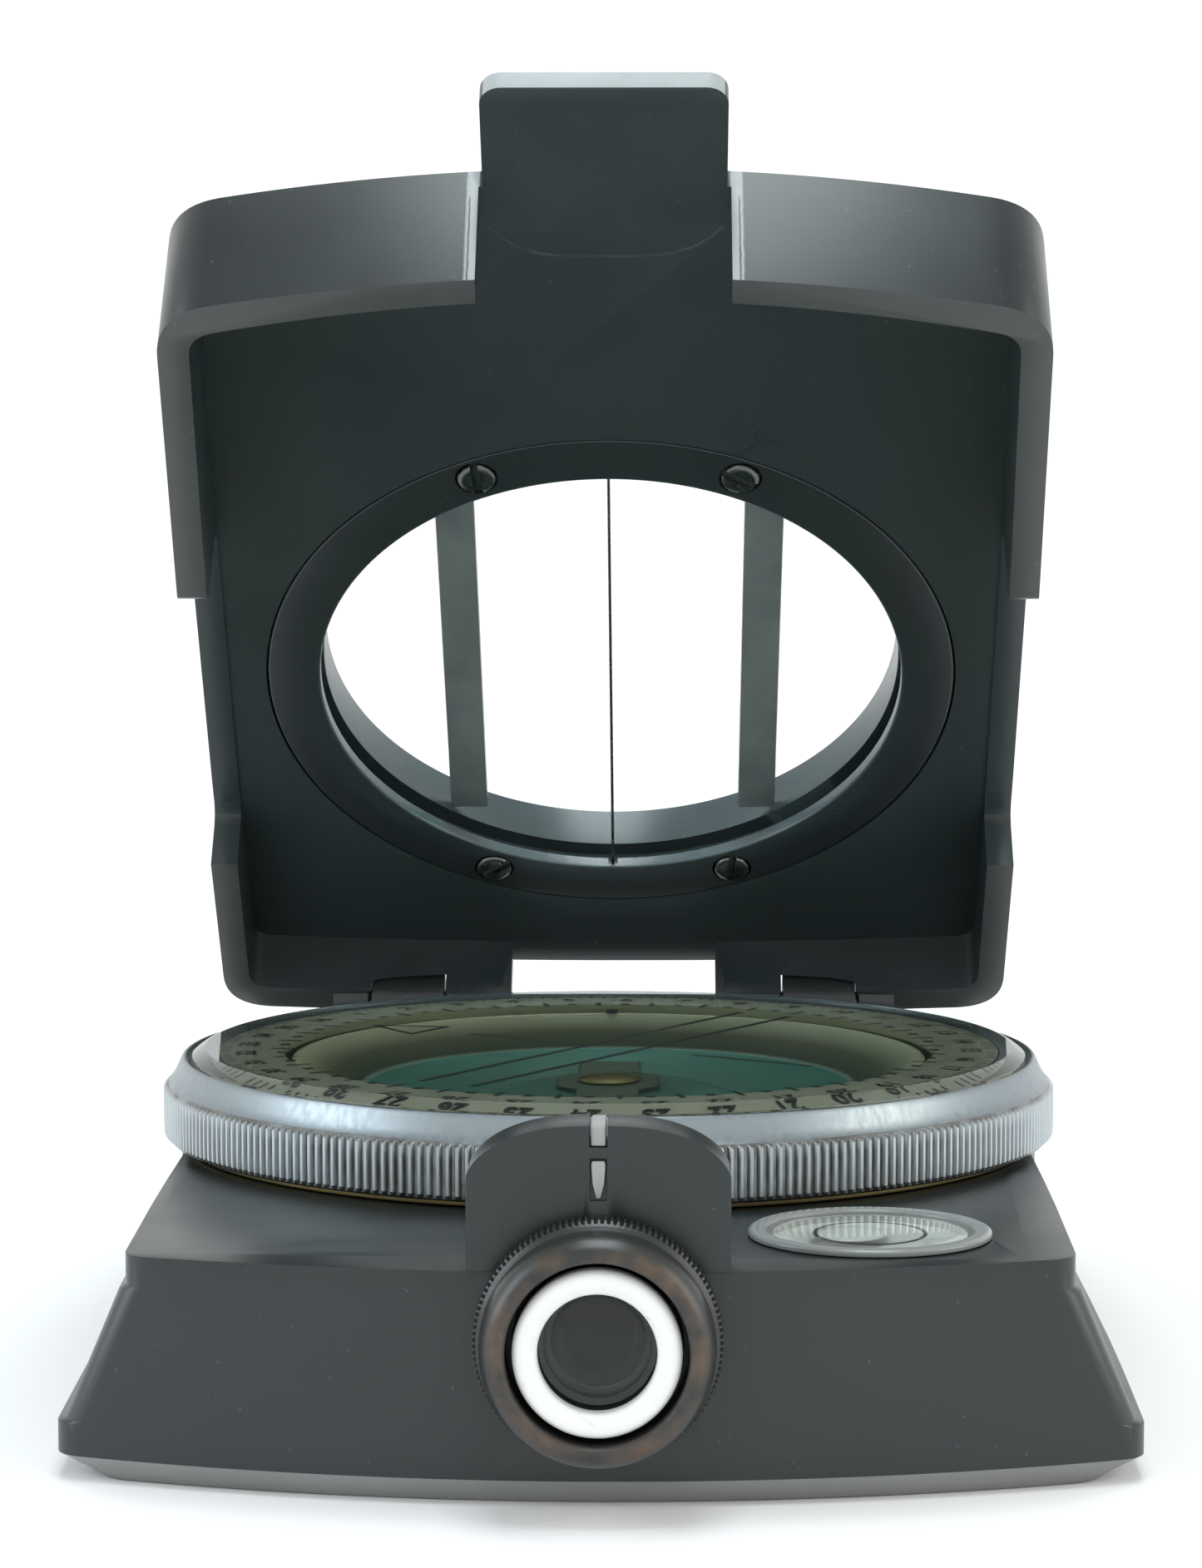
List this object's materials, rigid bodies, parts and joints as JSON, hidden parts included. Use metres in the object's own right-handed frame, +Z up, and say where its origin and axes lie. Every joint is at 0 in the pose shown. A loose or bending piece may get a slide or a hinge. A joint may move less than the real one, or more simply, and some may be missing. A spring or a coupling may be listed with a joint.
{
  "type": "sighting compass",
  "caption": "Pocket sighting compass: turning glass-topped bezel over a swinging card, hinged lid with window and hairline, focusing eyepiece and round level.",
  "frame": {"origin": "on the turning axis of the bezel, in the plane of the underside that rests on a table", "axes": "+Z up along the bezel's axis, +Y away from the user's eye towards the lid hinge, +X to the user's right"},
  "size_m": [0.067, 0.0937, 0.086],
  "materials": {
    "black_coat": "satin black coating on cast alloy",
    "cover_black": "matt black coating",
    "brass": "turned, unlacquered",
    "bright_alloy": "bright turned",
    "steel": "plain turned",
    "blackened_steel": "chemically blackened",
    "clear_glass": "polished clear",
    "dial_print": "printed scale ring",
    "capsule_olive": "moulded, olive",
    "card_teal": "printed card, teal",
    "white_paint": "white enamel",
    "pale_enamel": "pale enamel",
    "black_paint": "printed black",
    "seal_rubber": "plain black"
  },
  "bodies": {
    "base": {"base_body": "black_coat", "bottom_cover": "cover_black", "capsule_cup": "capsule_olive", "capsule_window": "clear_glass", "seat_ring": "brass", "pivot_pin": "steel", "capsule_seal": "seal_rubber", "lubber_mark": "black_paint", "eyepiece_tube": "brass", "index_bracket": "black_coat", "index_line_upper": "white_paint", "index_line_lower": "white_paint", "level_cup": "steel", "level_disc": "pale_enamel", "level_vial": "clear_glass", "hinge_pin_left": "steel", "hinge_pin_right": "steel", "cover_screw_1": "blackened_steel", "cover_screw_2": "blackened_steel", "cover_screw_3": "blackened_steel", "cover_screw_4": "blackened_steel"},
    "lid": {"lid_shell": "black_coat", "window_ring": "black_coat", "window_glass": "clear_glass", "sight_wire": "blackened_steel", "guard_bar_left": "bright_alloy", "guard_bar_right": "bright_alloy", "ring_screw_1": "blackened_steel", "ring_screw_2": "blackened_steel", "ring_screw_3": "blackened_steel", "ring_screw_4": "blackened_steel"},
    "bezel": {"bezel_ring": "bright_alloy", "crystal": "clear_glass", "number_ring": "dial_print"},
    "card": {"compass_card": "card_teal", "card_magnet": "steel", "jewel_cap": "brass"},
    "focus": {"focus_ring": "black_coat"},
    "lens": {"lens_cell": "black_coat", "eye_ring": "white_paint", "eye_lens": "clear_glass"}
  },
  "joints": [
    {"name": "lid_hinge", "type": "hinge", "parent": "base", "child": "lid", "pos_m": [0, 0.03345, 0.0191], "axis": [-1, 0, 0], "range_deg": [-44.9, 70]},
    {"name": "bezel_turn", "type": "hinge", "parent": "base", "child": "bezel", "pos_m": [0, 0, 0.0145], "axis": [0, 0, 1], "continuous": true},
    {"name": "card_swing", "type": "hinge", "parent": "base", "child": "card", "pos_m": [0, 0, 0.0066], "axis": [0, 0, 1], "continuous": true},
    {"name": "focus_turn", "type": "hinge", "parent": "base", "child": "focus", "pos_m": [0, -0.0504, 0.0102], "axis": [0, 1, 0], "range_deg": [-160, 160]},
    {"name": "lens_slide", "type": "slide", "parent": "base", "child": "lens", "axis": [0, -1, 0], "range_m": [-0.0006, 0.0006]}
  ],
  "couplings": [
    {"joint": "lens_slide", "follows": "focus_turn", "m_per_rad": 0.0002}
  ]
}
